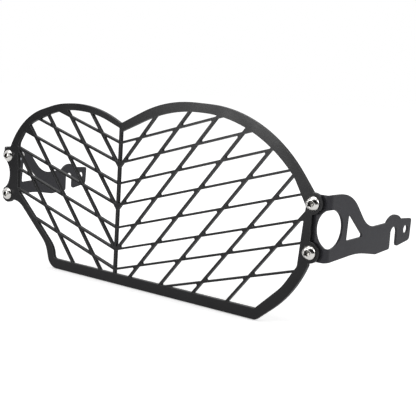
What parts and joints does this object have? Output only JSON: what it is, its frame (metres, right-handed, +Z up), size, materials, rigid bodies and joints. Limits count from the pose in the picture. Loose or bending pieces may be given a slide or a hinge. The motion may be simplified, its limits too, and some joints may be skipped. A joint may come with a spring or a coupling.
{
  "type": "motorcycle headlight guard",
  "caption": "Flat laser-cut lattice grille with a two-lobed outline, bolted at each side to a bent bracket whose slotted arm reaches back to the motorcycle, to shield its headlight.",
  "frame": {"origin": "centre of the hole in the right bracket's end tab, on the outer face of its arm", "axes": "+X to the viewer's right along the grille's bottom edge, +Y from the grille's front face back towards the motorcycle, +Z up"},
  "size_m": [0.352, 0.1158, 0.1495],
  "materials": {
    "black_coat_grille": "satin black powder coat",
    "black_coat_bracket": "satin black powder coat",
    "stainless_bolt": "bright stainless steel",
    "stainless_washer": "stamped stainless steel",
    "zinc_nut": "bright zinc plate",
    "nylon_ring": "moulded blue nylon"
  },
  "bodies": {
    "root": {"grille": "black_coat_grille", "bracket_right": "black_coat_bracket", "bracket_left": "black_coat_bracket", "bolt_upper_right": "stainless_bolt", "bolt_lower_right": "stainless_bolt", "bolt_upper_left": "stainless_bolt", "bolt_lower_left": "stainless_bolt", "washer_upper_right": "stainless_washer", "washer_lower_right": "stainless_washer", "washer_upper_left": "stainless_washer", "washer_lower_left": "stainless_washer", "nut_upper_right": "zinc_nut", "nut_lower_right": "zinc_nut", "nut_upper_left": "zinc_nut", "nut_lower_left": "zinc_nut", "lock_ring_upper_right": "nylon_ring", "lock_ring_lower_right": "nylon_ring", "lock_ring_upper_left": "nylon_ring", "lock_ring_lower_left": "nylon_ring"}
  },
  "joints": []
}
